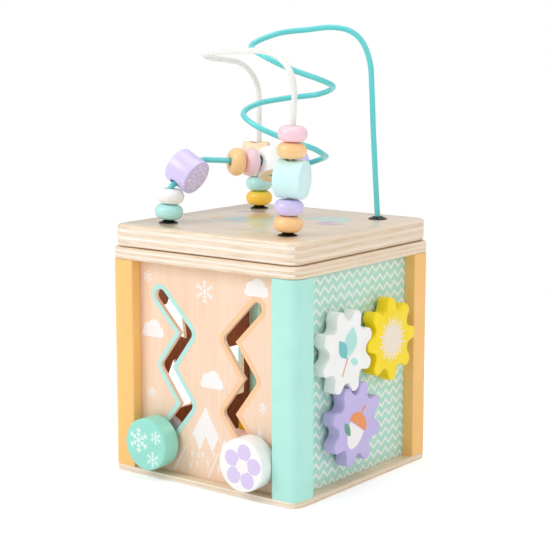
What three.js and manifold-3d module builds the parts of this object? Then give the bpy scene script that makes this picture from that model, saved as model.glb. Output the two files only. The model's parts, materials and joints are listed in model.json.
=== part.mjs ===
// Wooden shape sorter cube with a bead maze on its lift-off lid.
//
// Millimetres, +Z up. The origin is the centre of the underside of the base plate.
// Front (-Y): panel with two zigzag slots and their sliding knobs. Right (+X): three meshed gears.
// Left (-X): shape sorter holes. Back (+Y): closed panel. Top: lid with two wires and their beads.

import * as THREE from "three";
import { mergeVertices } from "three/addons/utils/BufferGeometryUtils.js";
import Module from "manifold-3d";

const wasm = await Module();
wasm.setup();

// ---- driving dimensions -------------------------------------------------------------------

const WIDTH = 155; // outside of the base plate and of the top frame
const BASE_T = 4;
const POST_TOP = 145; // the posts stand on the base and carry the top frame
const FRAME_T = 8;
const LID_SEAM = 0.3; // shadow gap between the top frame and the lid
const LID_TOP = 168;
const LID_WIDTH = 152.4;
const PLATE_CORNER_R = 9;
const BASE_EDGE_R = 0.8;
const FRAME_EDGE_R = 1.2;
const LID_EDGE_R = 2;

const POST_W = 19;
const POST_INSET = 0.4; // posts stand this far inside the plates' edges
const POST_CORNER_R = 7;
const PANEL_T = 3;
const PANEL_RECESS = 8.5; // from the plates' edge plane to a panel's outer face
const GROOVE_DEPTH = 3;
const GROOVE_PLAY = 0.15; // on each side of a panel in its groove

const SLOT_HALF = 4.2;
// A slot's points from its lower end up: distance from the panel's middle, height.
const SLOT_TRACK = [[40.2, 24.5], [17.6, 51.5], [35.7, 75.5], [17.6, 99.5], [40.2, 122.5]];

const KNOB_R = 17.4;
const KNOB_T = 14;
const KNOB_STANDOFF = 3; // clear space between the slot panel and a knob
const KNOB_FACE_T = 4; // wood in front of the socket for the peg
const PEG_R = 3.6;
const PEG_PLAY = 0.1;
const RETAINER_R = 16.2;
const RETAINER_T = 4.5;

const GEAR_TEETH = 8;
const GEAR_MEAN_R = 24.2;
const GEAR_TOOTH_HALF = 3.9; // tooth tips and valleys lie this far from the mean radius
const GEAR_TOOTH_SQUARENESS = 1.5; // 0 gives a plain sine wave
const GEAR_T = 9.4;
const GEAR_GAP = 2.5; // from the gear panel to the back of a gear
const GEAR_CENTRES = 51; // between the axes of two meshed gears
const GEAR_SCREW_R = 2;
const WHITE_GEAR = { y: -25.7, z: 92.5, turn: 20 }; // turn: angle of one tooth, degrees from +Y
const PURPLE_DIRECTION = -77.5; // from the white gear's axis to the purple gear's, degrees from +Y

// Middles of the sorter holes: distance behind the panel's middle, height.
const HOLES = { star: [-26, 99], triangle: [-26, 45], square: [33, 48], circle: [26, 99] };
const STAR = { outer: 23, inner: 12 };
const TRIANGLE_R = 25;
const SQUARE_HALF = 18.5;
const CIRCLE_R = 18.5;
const HOLE_CORNER_R = 2.5;
const BLOCK_PLAY = 1; // a block is this much smaller than its hole all round
const BLOCK_T = 18;

const WIRE_R = 1.9;
const WIRE_FOOT_R = 6.4;
const WIRE_FOOT_H = 2;
const BEAD_R = 9.5;
const BEAD_T = 10.2;
const BEAD_HOLE_R = 2.9;
const BEAD_GAP = 0.2;
const DRUM_R = 12.5; // the short cylinders that are drilled across
const DRUM_L = 18;
const DRUM_HOLE_R = 4.6;
const FIRST_BEAD_Z = LID_TOP + 2.4; // underside of the lowest bead of each stack

const FIT = 0.3; // clearance round screws and wires
const SMALL_SIDES = 12; // sides of small round pieces and bores

// ---- colours --------------------------------------------------------------------------------

const COLOUR = {
  birch: 0xe9cfa6,
  panelWood: 0xf0cfa8,
  mint: 0x8fe0cd,
  paleMint: 0xbdeee6,
  orange: 0xf6bd6f,
  amber: 0xf7b03c,
  peach: 0xfbb877,
  yellow: 0xf6df2e,
  pink: 0xf4b9c6,
  lavender: 0xc3aee0,
  white: 0xf2f2ef,
  teal: 0x4fc4c0,
  brown: 0x5a3420,
  black: 0x1d1c1b,
  clear: 0xb9bcbd,
  steel: 0xb4b6b8,
};

function finish(colour, roughness = 0.45, metalness = 0) {
  return new THREE.MeshStandardMaterial({ color: colour, roughness, metalness });
}

const WOOD = 0.6;
const PAINT = 0.4;
const PLASTIC = 0.3;

// ---- solids ---------------------------------------------------------------------------------

// The closed manifold solid of a geometry, for cutting and joining.
function solid(geometry) {
  const bare = geometry.clone();
  bare.deleteAttribute("normal");
  bare.deleteAttribute("uv");
  const merged = mergeVertices(bare, 1e-4);
  return new wasm.Manifold(
    new wasm.Mesh({
      numProp: 3,
      vertProperties: merged.attributes.position.array,
      triVerts: new Uint32Array(merged.index.array),
    }),
  );
}

function geometryOf(manifold) {
  const mesh = manifold.getMesh();
  const geometry = new THREE.BufferGeometry();
  geometry.setAttribute("position", new THREE.BufferAttribute(mesh.vertProperties, 3));
  geometry.setIndex(new THREE.BufferAttribute(mesh.triVerts, 1));
  geometry.computeVertexNormals();
  return geometry;
}

function cut(geometry, ...tools) {
  return geometryOf(tools.reduce((left, tool) => left.subtract(solid(tool)), solid(geometry)));
}

// A cylinder along Z from z0 to z1.
function rod(radius, z0, z1, sides = 24) {
  const geometry = new THREE.CylinderGeometry(radius, radius, z1 - z0, sides);
  geometry.rotateX(Math.PI / 2);
  return geometry.translate(0, 0, (z0 + z1) / 2);
}

// A solid of revolution about Z. Each profile point is [radius, z]; the profile runs upwards outside.
function turned(profile, sides = 24) {
  const geometry = new THREE.LatheGeometry(
    profile.map(([r, z]) => new THREE.Vector2(r, z)),
    sides,
  );
  return geometry.rotateX(Math.PI / 2);
}

function roundedSquare(half, radius) {
  const shape = new THREE.Shape();
  const inner = half - radius;
  shape.absarc(inner, inner, radius, 0, Math.PI / 2);
  shape.absarc(-inner, inner, radius, Math.PI / 2, Math.PI);
  shape.absarc(-inner, -inner, radius, Math.PI, 1.5 * Math.PI);
  shape.absarc(inner, -inner, radius, 1.5 * Math.PI, 2 * Math.PI);
  shape.closePath();
  return shape;
}

function circlePath(x, y, radius) {
  return new THREE.Path().absarc(x, y, radius, 0, 2 * Math.PI);
}

// A plate between z0 and z1 whose rim is rounded by edge; the outline is the plate's full outline.
function plate(shape, z0, z1, edge, curveSegments = 6) {
  const geometry = new THREE.ExtrudeGeometry(shape, {
    depth: z1 - z0 - 2 * edge,
    bevelEnabled: edge > 0,
    bevelSize: edge,
    bevelThickness: edge,
    bevelOffset: -edge,
    bevelSegments: 1,
    curveSegments,
  });
  return geometry.translate(0, 0, z0 + edge);
}

// A closed polygon with every corner rounded by radius.
function roundedPolygon(corners, radius) {
  const path = new THREE.Path();
  corners.forEach((corner, i) => {
    const before = corners[(i + corners.length - 1) % corners.length];
    const after = corners[(i + 1) % corners.length];
    const towardsBefore = before.clone().sub(corner).normalize();
    const towardsAfter = after.clone().sub(corner).normalize();
    const halfAngle = Math.acos(THREE.MathUtils.clamp(towardsBefore.dot(towardsAfter), -1, 1)) / 2;
    const setback = radius / Math.tan(halfAngle);
    const start = corner.clone().addScaledVector(towardsBefore, setback);
    const end = corner.clone().addScaledVector(towardsAfter, setback);
    if (i === 0) path.moveTo(start.x, start.y);
    else path.lineTo(start.x, start.y);
    path.quadraticCurveTo(corner.x, corner.y, end.x, end.y);
  });
  path.closePath();
  return path;
}

function named(name, geometry, material) {
  const mesh = new THREE.Mesh(geometry, material);
  mesh.name = name;
  return mesh;
}

// ---- carcass --------------------------------------------------------------------------------

const HALF = WIDTH / 2;
const POST_OUT = HALF - POST_INSET; // outer faces of the posts
const POST_IN = POST_OUT - POST_W; // inner faces of the posts
const PANEL_OUT = HALF - PANEL_RECESS; // outer face of a panel
const PANEL_IN = PANEL_OUT - PANEL_T;
const PANEL_HALF = POST_IN + GROOVE_DEPTH - GROOVE_PLAY;
const FRAME_TOP = POST_TOP + FRAME_T;
const LID_BOTTOM = FRAME_TOP + LID_SEAM;

const OPENING_HALF = POST_IN - 0.5; // the opening in the top frame
const OPENING_CORNER_R = 4;

const SCREW = { shankR: 1.5, headR: 3.2, headT: 1.8, length: 22 };
const POST_MIDDLE = POST_OUT - POST_W / 2;
const CORNERS = { front_left: [-1, -1], front_right: [1, -1], back_right: [1, 1], back_left: [-1, 1] };

function countersunkScrew(grow) {
  const head = SCREW.headR + grow;
  const shank = SCREW.shankR + grow;
  const tip = SCREW.length + grow;
  return turned(
    [[0, -grow], [head, -grow], [head, 0], [shank, SCREW.headT + grow], [shank, tip], [0, tip]],
    SMALL_SIDES,
  );
}

function basePlate() {
  const blank = plate(roundedSquare(HALF, PLATE_CORNER_R), 0, BASE_T, BASE_EDGE_R);
  const holes = Object.values(CORNERS).map(([x, y]) =>
    countersunkScrew(FIT).translate(x * POST_MIDDLE, y * POST_MIDDLE, 0),
  );
  return cut(blank, ...holes);
}

// One post in the +X +Y corner: square, its outer corner rounded, with a groove for each panel.
function post() {
  const shape = new THREE.Shape();
  const grooveOut = PANEL_OUT + GROOVE_PLAY;
  const grooveIn = PANEL_IN - GROOVE_PLAY;
  const grooveEnd = POST_IN + GROOVE_DEPTH;
  shape.moveTo(POST_IN, POST_IN);
  shape.lineTo(grooveIn, POST_IN);
  shape.lineTo(grooveIn, grooveEnd);
  shape.lineTo(grooveOut, grooveEnd);
  shape.lineTo(grooveOut, POST_IN);
  shape.lineTo(POST_OUT, POST_IN);
  const middle = POST_OUT - POST_CORNER_R;
  shape.absarc(middle, middle, POST_CORNER_R, 0, Math.PI / 2);
  shape.lineTo(POST_IN, POST_OUT);
  shape.lineTo(POST_IN, grooveOut);
  shape.lineTo(grooveEnd, grooveOut);
  shape.lineTo(grooveEnd, grooveIn);
  shape.lineTo(POST_IN, grooveIn);
  shape.closePath();
  const blank = plate(shape, BASE_T, POST_TOP, 0, 5);
  return cut(blank, countersunkScrew(FIT).translate(POST_MIDDLE, POST_MIDDLE, 0));
}

function topFrame() {
  const shape = roundedSquare(HALF, PLATE_CORNER_R);
  shape.holes.push(new THREE.Path(roundedSquare(OPENING_HALF, OPENING_CORNER_R).getPoints(4)));
  return plate(shape, POST_TOP, FRAME_TOP, FRAME_EDGE_R);
}

// A panel drawn as (across, height) and stood up at its place on the side that turn names,
// a number of quarter turns from the front.
function standPanel(shape, turn) {
  const geometry = new THREE.ExtrudeGeometry(shape, {
    depth: PANEL_T,
    bevelEnabled: false,
    curveSegments: 5,
  });
  geometry.rotateX(Math.PI / 2);
  geometry.translate(0, -PANEL_IN, 0);
  return geometry.rotateZ((turn * Math.PI) / 2);
}

function panelShape() {
  const shape = new THREE.Shape();
  shape.moveTo(-PANEL_HALF, BASE_T);
  shape.lineTo(PANEL_HALF, BASE_T);
  shape.lineTo(PANEL_HALF, POST_TOP);
  shape.lineTo(-PANEL_HALF, POST_TOP);
  shape.closePath();
  return shape;
}

// The outline of a cutter of the given half width moved along a line of points:
// round ends, round outside each turn and sharp inside it.
function routedSlot(points, half) {
  const path = new THREE.Path();
  const there = points.concat(points.slice(1, -1).reverse());
  there.forEach((point, i) => {
    const before = there[(i + there.length - 1) % there.length];
    const after = there[(i + 1) % there.length];
    const into = point.clone().sub(before).angle();
    const out = after.clone().sub(point).angle();
    let turn = out - into;
    turn -= 2 * Math.PI * Math.round(turn / (2 * Math.PI));
    if (point === points[0] || point === points[points.length - 1]) turn = Math.PI;
    if (turn > 0) {
      path.absarc(point.x, point.y, half, into - Math.PI / 2, into - Math.PI / 2 + turn);
    } else {
      const bisector = into - Math.PI / 2 + turn / 2;
      const reach = half / Math.cos(turn / 2);
      path.lineTo(point.x + reach * Math.cos(bisector), point.y + reach * Math.sin(bisector));
    }
  });
  path.closePath();
  return path;
}

function slotPoints(side) {
  return SLOT_TRACK.map(([x, z]) => new THREE.Vector2(side * x, z));
}

function slotPanel() {
  const shape = panelShape();
  [-1, 1].forEach((side) => shape.holes.push(routedSlot(slotPoints(side), SLOT_HALF)));
  return standPanel(shape, 0);
}

function regularCorners(count, radii, startAngle) {
  const corners = [];
  for (let i = 0; i < count; i++) {
    const angle = startAngle + (2 * Math.PI * i) / count;
    const radius = radii[i % radii.length];
    corners.push(new THREE.Vector2(radius * Math.cos(angle), radius * Math.sin(angle)));
  }
  return corners;
}

// The four sorter outlines about their own centres, with their sides moved inwards by shrink.
// A star's tips and a triangle's corners then move inwards further than the sides do.
const OUTLINES = {
  star: (shrink) =>
    roundedPolygon(
      regularCorners(10, [STAR.outer - 1.9 * shrink, STAR.inner - shrink], Math.PI / 2),
      HOLE_CORNER_R * 0.6,
    ),
  triangle: (shrink) =>
    roundedPolygon(regularCorners(3, [TRIANGLE_R - 2 * shrink], Math.PI / 2), HOLE_CORNER_R),
  square: (shrink) =>
    roundedPolygon(
      regularCorners(4, [(SQUARE_HALF - shrink) * Math.SQRT2], Math.PI / 4),
      HOLE_CORNER_R,
    ),
  circle: (shrink) => circlePath(0, 0, CIRCLE_R - shrink),
};

function movedPath(path, x, y) {
  const points = path.getPoints(5).map((p) => new THREE.Vector2(p.x + x, p.y + y));
  return new THREE.Path(points);
}

function sorterPanel() {
  const shape = panelShape();
  // Standing the panel on the left side turns its across direction into -Y.
  Object.entries(HOLES).forEach(([name, [y, z]]) => {
    shape.holes.push(movedPath(OUTLINES[name](0), -y, z));
  });
  return standPanel(shape, 3);
}

function gearPanel() {
  const shape = panelShape();
  Object.values(GEARS).forEach(({ y, z }) => shape.holes.push(circlePath(y, z, GEAR_SCREW_R + FIT)));
  return standPanel(shape, 1);
}

// ---- gears ----------------------------------------------------------------------------------

// Two meshed gears' tooth angles sum to half a tooth plus twice the direction between their axes.
function meshedTurn(turn, direction) {
  const pitch = 360 / GEAR_TEETH;
  return pitch / 2 - turn + 2 * direction;
}

function gearBeside(gear, direction) {
  const angle = THREE.MathUtils.degToRad(direction);
  return {
    y: gear.y + GEAR_CENTRES * Math.cos(angle),
    z: gear.z + GEAR_CENTRES * Math.sin(angle),
    turn: meshedTurn(gear.turn, direction),
  };
}

const GEARS = {
  white: WHITE_GEAR,
  yellow: gearBeside(WHITE_GEAR, 0),
  purple: gearBeside(WHITE_GEAR, PURPLE_DIRECTION),
};
const GEAR_BACK = PANEL_OUT + GEAR_GAP;
const GEAR_BORE_DEPTH = 6.5;
const GEAR_EDGE_R = 0.6;

function gearOutline() {
  const steps = 8; // points on each tooth
  const points = [];
  for (let i = 0; i < GEAR_TEETH * steps; i++) {
    const angle = (2 * Math.PI * i) / (GEAR_TEETH * steps);
    const wave = Math.tanh(GEAR_TOOTH_SQUARENESS * Math.cos(GEAR_TEETH * angle));
    const radius = GEAR_MEAN_R + (GEAR_TOOTH_HALF * wave) / Math.tanh(GEAR_TOOTH_SQUARENESS);
    points.push(new THREE.Vector2(radius * Math.cos(angle), radius * Math.sin(angle)));
  }
  return new THREE.Shape(points);
}

// A gear lying on z = 0 with a blind screw bore from below.
function gear() {
  const bore = rod(GEAR_SCREW_R + FIT, -1, GEAR_BORE_DEPTH, SMALL_SIDES);
  return cut(plate(gearOutline(), 0, GEAR_T, GEAR_EDGE_R), bore);
}

// The screw comes from inside the box, its head behind the gear panel.
function gearScrew() {
  const r = GEAR_SCREW_R;
  const headR = 4.4;
  const headT = 2;
  const chamfer = 0.4;
  const under = -GEAR_GAP - PANEL_T - FIT;
  const head = under - headT;
  const tip = GEAR_BORE_DEPTH - FIT;
  return turned(
    [[0, head], [headR - chamfer, head], [headR, head + 2 * chamfer], [headR, under], [r, under],
     [r, tip], [0, tip]],
    SMALL_SIDES,
  );
}

// The washer fills the gap behind a gear, with a little play on each side.
function gearWasher() {
  const play = 0.15;
  const inner = GEAR_SCREW_R + FIT;
  const outer = 6;
  const back = play - GEAR_GAP;
  const front = -play;
  return turned(
    [[inner, back], [outer, back], [outer, front], [inner, front], [inner, back]],
    SMALL_SIDES,
  );
}

// Lays a piece made about +Z with its base at a gear's back on the gear panel.
function onGearPanel(object, { y, z, turn }) {
  const across = new THREE.Vector3(0, 1, 0);
  const up = new THREE.Vector3(0, 0, 1);
  const out = new THREE.Vector3(1, 0, 0);
  object.matrix.makeBasis(across, up, out);
  object.matrix.setPosition(GEAR_BACK, y, z);
  object.matrix.multiply(new THREE.Matrix4().makeRotationZ(THREE.MathUtils.degToRad(turn)));
  object.matrix.decompose(object.position, object.quaternion, object.scale);
  return object;
}

// ---- slot knobs -----------------------------------------------------------------------------

// Profile heights run from the slot panel's outer face (0) outwards.
function knob() {
  const back = KNOB_STANDOFF;
  const front = back + KNOB_T;
  const socket = front - KNOB_FACE_T;
  const edge = 1.4;
  const bore = PEG_R + PEG_PLAY;
  const r = KNOB_R;
  return turned(
    [[bore, back], [r - edge, back], [r, back + edge], [r, front - edge], [r - edge, front],
     [0, front], [0, socket], [bore, socket], [bore, back]],
    28,
  );
}

function knobPeg() {
  const front = KNOB_STANDOFF + KNOB_T - KNOB_FACE_T - FIT;
  const end = 1; // the peg stands out behind its retainer
  const back = -PANEL_T - FIT - RETAINER_T - end;
  return turned([[0, back], [PEG_R, back], [PEG_R, front], [0, front]], 16);
}

function knobRetainer() {
  const front = -PANEL_T - FIT;
  const back = front - RETAINER_T;
  const bore = PEG_R + PEG_PLAY;
  const hub = bore + 3;
  const wall = 1.6;
  const r = RETAINER_R;
  return turned(
    [[bore, back], [hub, back], [hub, front - wall], [r - wall, front - wall], [r - wall, back],
     [r, back], [r, front], [bore, front], [bore, back]],
    20,
  );
}

function onSlotPanel(object, side) {
  const [x, z] = SLOT_TRACK[0];
  object.position.set(side * x, -PANEL_OUT, z);
  object.rotation.x = Math.PI / 2;
  return object;
}

// ---- lid and wires --------------------------------------------------------------------------

// Where each wire leg leaves the lid, and how far it leans in x and y for each millimetre it rises.
const LEGS = {
  front: { foot: [51, -51], lean: [0.04, 0.025] },
  back: { foot: [-51, 51], lean: [0, 0] },
  left: { foot: [-49.5, -49.8], lean: [0.06, 0.05] },
  right: { foot: [51, 51], lean: [-0.05, -0.035] },
};
const WIRE_END_Z = LID_BOTTOM + 3;

function lidPlate() {
  const blank = plate(roundedSquare(LID_WIDTH / 2, PLATE_CORNER_R), LID_BOTTOM, LID_TOP, LID_EDGE_R);
  const bores = Object.values(LEGS).map(({ foot: [x, y] }) =>
    rod(WIRE_R + FIT, WIRE_END_Z - 1, LID_TOP + 1, SMALL_SIDES).translate(x, y, 0),
  );
  return cut(blank, ...bores);
}

// The plug under the lid that centres it in the top frame's opening.
function lidPlug() {
  const play = 0.8;
  const shape = roundedSquare(OPENING_HALF - play, OPENING_CORNER_R - play / 2);
  return plate(shape, POST_TOP + 1, LID_BOTTOM, 0, 3);
}

function wireFoot() {
  const bore = WIRE_R + FIT;
  const rim = 0.25 * WIRE_FOOT_H;
  return turned(
    [[bore, 0], [WIRE_FOOT_R, 0], [WIRE_FOOT_R, rim], [4.2, 3 * rim], [WIRE_FOOT_R / 2, WIRE_FOOT_H],
     [bore, WIRE_FOOT_H], [bore, 0]],
    SMALL_SIDES,
  );
}

// The middle of a leg at a height: upright inside the lid, leaning above it.
function legAt(name, z) {
  const { foot, lean } = LEGS[name];
  const rise = Math.max(0, z - LID_TOP);
  return new THREE.Vector3(foot[0] + lean[0] * rise, foot[1] + lean[1] * rise, z);
}

// A round wire: straight up one leg to where the bend starts, through the bend, and straight down.
// Its mesh is made of straight pieces of about the given length.
function wire(from, fromZ, bend, to, toZ, length) {
  const path = new THREE.CurvePath();
  const start = legAt(from, fromZ);
  const end = legAt(to, toZ);
  path.add(new THREE.LineCurve3(legAt(from, WIRE_END_Z), legAt(from, LID_TOP)));
  path.add(new THREE.LineCurve3(legAt(from, LID_TOP), start));
  path.add(new THREE.CatmullRomCurve3([start, ...bend, end], false, "centripetal"));
  path.add(new THREE.LineCurve3(end, legAt(to, LID_TOP)));
  path.add(new THREE.LineCurve3(legAt(to, LID_TOP), legAt(to, WIRE_END_Z)));
  const section = new THREE.Shape();
  section.absarc(0, 0, WIRE_R, 0, 2 * Math.PI);
  return new THREE.ExtrudeGeometry(section, {
    steps: Math.round(path.getLength() / length),
    bevelEnabled: false,
    curveSegments: 3,
    extrudePath: path,
  });
}

function points(list) {
  return list.map((p) => new THREE.Vector3(...p));
}

const WHITE_LEG_TOP = 257; // where the front leg of the white wire stops being straight
const WHITE_LEG_BACK_TOP = 247;
// Over the lid's front edge to a hairpin above the left side, then back to the back leg.
const WHITE_BEND = points([
  [52.7, -49.6, 268.5],
  [45, -48.6, 276.8],
  [31, -45.5, 281.8],
  [9, -39.5, 282.2],
  [-14, -33, 281],
  [-36.5, -27, 279.2],
  [-38.8, -20, 277],
  [-42.3, 5, 274.5],
  [-46, 25, 271.4],
  [-49.4, 42, 263],
  [-51, 51, 251],
]);

// The teal wire's coil is drawn in a frame turned about Z: u along the coil's long axis, w across it.
// Its middle starts at u, w and drifts along u by drift for each eighth of a turn.
const COIL = { yaw: 37.4, u: 14.6, drift: -0.69, w: 5, halfU: 28.6, halfW: 19 };
// Heights at each eighth of a turn, from the coil's left end round its front and down.
const COIL_HEIGHTS = [284.5, 278.5, 269.4, 262.2, 257.2, 252, 249.1, 245.3, 239.6, 233, 224.5, 217.3];

function inCoilFrame(u, w, z) {
  return new THREE.Vector3(u, w, z).applyAxisAngle(
    new THREE.Vector3(0, 0, 1),
    THREE.MathUtils.degToRad(COIL.yaw),
  );
}

function coilPoints() {
  return COIL_HEIGHTS.map((z, i) => {
    const angle = Math.PI + (i * Math.PI) / 4;
    const u = COIL.u + i * COIL.drift + COIL.halfU * Math.cos(angle);
    const w = COIL.w + COIL.halfW * Math.sin(angle);
    return inCoilFrame(u, w, z);
  });
}

// The straight run below the coil: from RUN_START towards the left leg, sloping up a little.
const RUN_START = inCoilFrame(24.5, 32, 204);
const RUN_HEADING = legAt("left", RUN_START.z).sub(RUN_START).normalize();
const RUN_SLOPE = Math.tan(THREE.MathUtils.degToRad(3.8));
const RUN_DIRECTION = RUN_HEADING.clone().setZ(RUN_SLOPE).normalize();
const RUN_LENGTH = 76; // of its plan; the wire then bends down to the left leg
const LEFT_LEG_TOP = 191.5;
const RIGHT_LEG_TOP = 200;
const LEG_SLOPE = Math.PI / 4; // slope of the wire between the run and the left leg

function onRun(distance) {
  return RUN_START.clone().addScaledVector(RUN_DIRECTION, distance);
}

// A point in the upright plane of the run: distance in from the left leg, height.
function nearLeftLeg(distance, z) {
  return legAt("left", z).addScaledVector(RUN_HEADING, -distance);
}

// Up from the right leg, over to the coil, down it, along the run and down to the left leg.
function tealBend() {
  const riseAndOver = [
    [48, 49, 230],
    [46.9, 48.6, 255],
    [45.5, 47.8, 274],
    [40.7, 45.1, 287.6],
    [34, 41.2, 294.2],
    [24, 35.3, 296.6],
    [8.7, 26.5, 295],
    [-8.5, 16.8, 292.4],
  ];
  const intoRun = [[34.8, 5, 211.8], [36.3, 17.5, 209.4], [32.6, 28.6, 206.8]];
  const run = [0, 6, 30, 53, RUN_LENGTH];
  const drop = [[20, 209], [13.2, 203], [5.8, 196], [1, 193]];
  return [
    ...points(riseAndOver),
    ...coilPoints(),
    ...intoRun.map((p) => inCoilFrame(...p)),
    ...run.map(onRun),
    ...drop.map((p) => nearLeftLeg(...p)),
  ];
}

// ---- beads ----------------------------------------------------------------------------------

// A flattened round bead about Z with a straight hole, its rim following a squared circle.
function bead() {
  const land = 4.2; // flat ring round the hole
  const rimPower = 0.9; // 1 gives a round rim, less a fuller one
  const rim = [];
  const steps = 5;
  for (let i = 0; i <= steps; i++) {
    const angle = -Math.PI / 2 + (Math.PI * i) / steps;
    const radius = land + (BEAD_R - land) * Math.cos(angle) ** rimPower;
    rim.push([radius, (BEAD_T / 2) * Math.sin(angle)]);
  }
  const lip = BEAD_T / 2 - 0.8;
  return turned([[BEAD_HOLE_R, -lip], ...rim, [BEAD_HOLE_R, lip], [BEAD_HOLE_R, -lip]], 16);
}

// A short cylinder along X, drilled across along Z.
function drum() {
  const edge = 0.8;
  const half = DRUM_L / 2;
  const r = DRUM_R;
  const blank = turned(
    [[0, -half], [r - edge, -half], [r, -half + edge], [r, half - edge], [r - edge, half], [0, half]],
  );
  blank.rotateY(Math.PI / 2);
  return cut(blank, rod(DRUM_HOLE_R, -r - 1, r + 1, SMALL_SIDES));
}

// Turns a piece so that its hole (Z) runs along direction; spin turns it about its hole.
function threaded(object, centre, direction, spin = 0) {
  const up = new THREE.Vector3(0, 0, 1);
  const spun = new THREE.Quaternion().setFromAxisAngle(up, THREE.MathUtils.degToRad(spin));
  object.quaternion.setFromUnitVectors(up, direction.clone().normalize()).multiply(spun);
  object.position.copy(centre);
  return object;
}

const PIECES = {
  bead: { make: bead, length: BEAD_T },
  drum: { make: drum, length: 2 * DRUM_R },
};

function legDirection(leg) {
  const [x, y] = LEGS[leg].lean;
  return new THREE.Vector3(x, y, 1);
}

// Pieces threaded on one leg, from the lid upwards: [name, kind, colour, spin, shift along the drum].
function stack(leg, pieces) {
  let z = FIRST_BEAD_Z;
  return pieces.map(([name, kind, colour, spin = 0, shift = 0]) => {
    const { make, length } = PIECES[kind];
    const angle = THREE.MathUtils.degToRad(spin);
    const centre = legAt(leg, z + length / 2).add(
      new THREE.Vector3(shift * Math.cos(angle), shift * Math.sin(angle), 0),
    );
    z += length + BEAD_GAP;
    return threaded(named(name, make(), finish(colour, PAINT)), centre, legDirection(leg), spin);
  });
}

const DRUM_TILT = Math.tan(THREE.MathUtils.degToRad(5)); // a drum's wide hole lets it tilt on its wire

// Pieces threaded on the run hang from the wire: [name, kind, colour, distance, spin, drop, tilt].
function hung([name, kind, colour, distance, spin, drop, tilt = 0]) {
  const centre = onRun(distance);
  centre.z -= drop;
  const direction = RUN_DIRECTION.clone().setZ(RUN_DIRECTION.z + tilt);
  return threaded(named(name, PIECES[kind].make(), finish(colour, PAINT)), centre, direction, spin);
}

function beads() {
  const slope = RUN_HEADING.clone().multiplyScalar(-Math.cos(LEG_SLOPE)).setZ(Math.sin(LEG_SLOPE));
  const beadDrop = BEAD_HOLE_R - WIRE_R - FIT;
  const lavender = named("lavender_drum", drum(), finish(COLOUR.lavender, PAINT));
  return [
    ...stack("front", [
      ["front_peach_bead", "bead", COLOUR.peach],
      ["front_lavender_bead", "bead", COLOUR.lavender],
      ["mint_drum", "drum", COLOUR.paleMint, 16, 1],
      ["front_amber_bead", "bead", COLOUR.peach],
      ["front_pink_bead", "bead", COLOUR.pink],
    ]),
    ...stack("back", [
      ["back_yellow_bead", "bead", COLOUR.amber],
      ["back_mint_bead", "bead", COLOUR.mint],
      ["wood_drum", "drum", COLOUR.birch, 28, -2],
    ]),
    ...stack("left", [
      ["left_mint_bead", "bead", COLOUR.mint],
      ["left_white_bead", "bead", COLOUR.white],
    ]),
    ...[
      ["run_lavender_bead", "bead", COLOUR.lavender, 6.6, 0, beadDrop / 2],
      ["white_drum", "drum", COLOUR.white, 25, -90, 1.3, DRUM_TILT],
      ["run_pink_bead", "bead", COLOUR.pink, 43.4, 0, beadDrop],
      ["run_peach_bead", "bead", COLOUR.peach, 53.8, 0, beadDrop],
    ].map(hung),
    threaded(lavender, nearLeftLeg(11, 202), slope, 13),
  ];
}

// ---- sorter blocks --------------------------------------------------------------------------

// Blocks lie flat on the base, two by two, clear of the walls.
const BLOCK_GRID = 27;
const BLOCK_LIFT = 0.1;
const BLOCK_EDGE_R = 0.8;
const BLOCK_PLACES = { star: [-1, 1], triangle: [1, 1], square: [-1, -1], circle: [1, -1] };

function block(name) {
  const outline = new THREE.Shape(OUTLINES[name](BLOCK_PLAY).getPoints(4));
  const [x, y] = BLOCK_PLACES[name];
  const low = BASE_T + BLOCK_LIFT;
  const high = low + BLOCK_T;
  return plate(outline, low, high, BLOCK_EDGE_R).translate(x * BLOCK_GRID, y * BLOCK_GRID, 0);
}

// ---- assembly -------------------------------------------------------------------------------

function carcass() {
  const group = new THREE.Group();
  const panelWood = finish(COLOUR.panelWood, WOOD);
  group.add(named("base_plate", basePlate(), finish(COLOUR.birch, WOOD)));
  group.add(named("slot_panel", slotPanel(), panelWood));
  group.add(named("gear_panel", gearPanel(), finish(COLOUR.mint, WOOD)));
  group.add(named("back_panel", standPanel(panelShape(), 2), panelWood));
  group.add(named("sorter_panel", sorterPanel(), finish(COLOUR.brown, WOOD)));
  group.add(named("top_frame", topFrame(), finish(COLOUR.birch, WOOD)));
  const colours = {
    front_left: COLOUR.orange,
    front_right: COLOUR.mint,
    back_right: COLOUR.orange,
    back_left: COLOUR.mint,
  };
  Object.entries(CORNERS).forEach(([name, [x, y]]) => {
    const quarter = Math.round((Math.atan2(y, x) / Math.PI - 0.25) * 2);
    const geometry = post().rotateZ((quarter * Math.PI) / 2);
    group.add(named("post_" + name, geometry, finish(colours[name], PAINT)));
    const screw = countersunkScrew(0).translate(x * POST_MIDDLE, y * POST_MIDDLE, 0);
    group.add(named("base_screw_" + name, screw, finish(COLOUR.steel, PLASTIC, 1)));
  });
  return group;
}

function gearTrain() {
  const group = new THREE.Group();
  const colours = { white: COLOUR.white, yellow: COLOUR.yellow, purple: COLOUR.lavender };
  Object.entries(GEARS).forEach(([name, place]) => {
    const pieces = [
      named(name + "_gear", gear(), finish(colours[name], PAINT)),
      named(name + "_gear_screw", gearScrew(), finish(COLOUR.steel, PLASTIC, 1)),
      named(name + "_gear_washer", gearWasher(), finish(COLOUR.white, PLASTIC)),
    ];
    pieces.forEach((piece) => group.add(onGearPanel(piece, place)));
  });
  return group;
}

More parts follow.
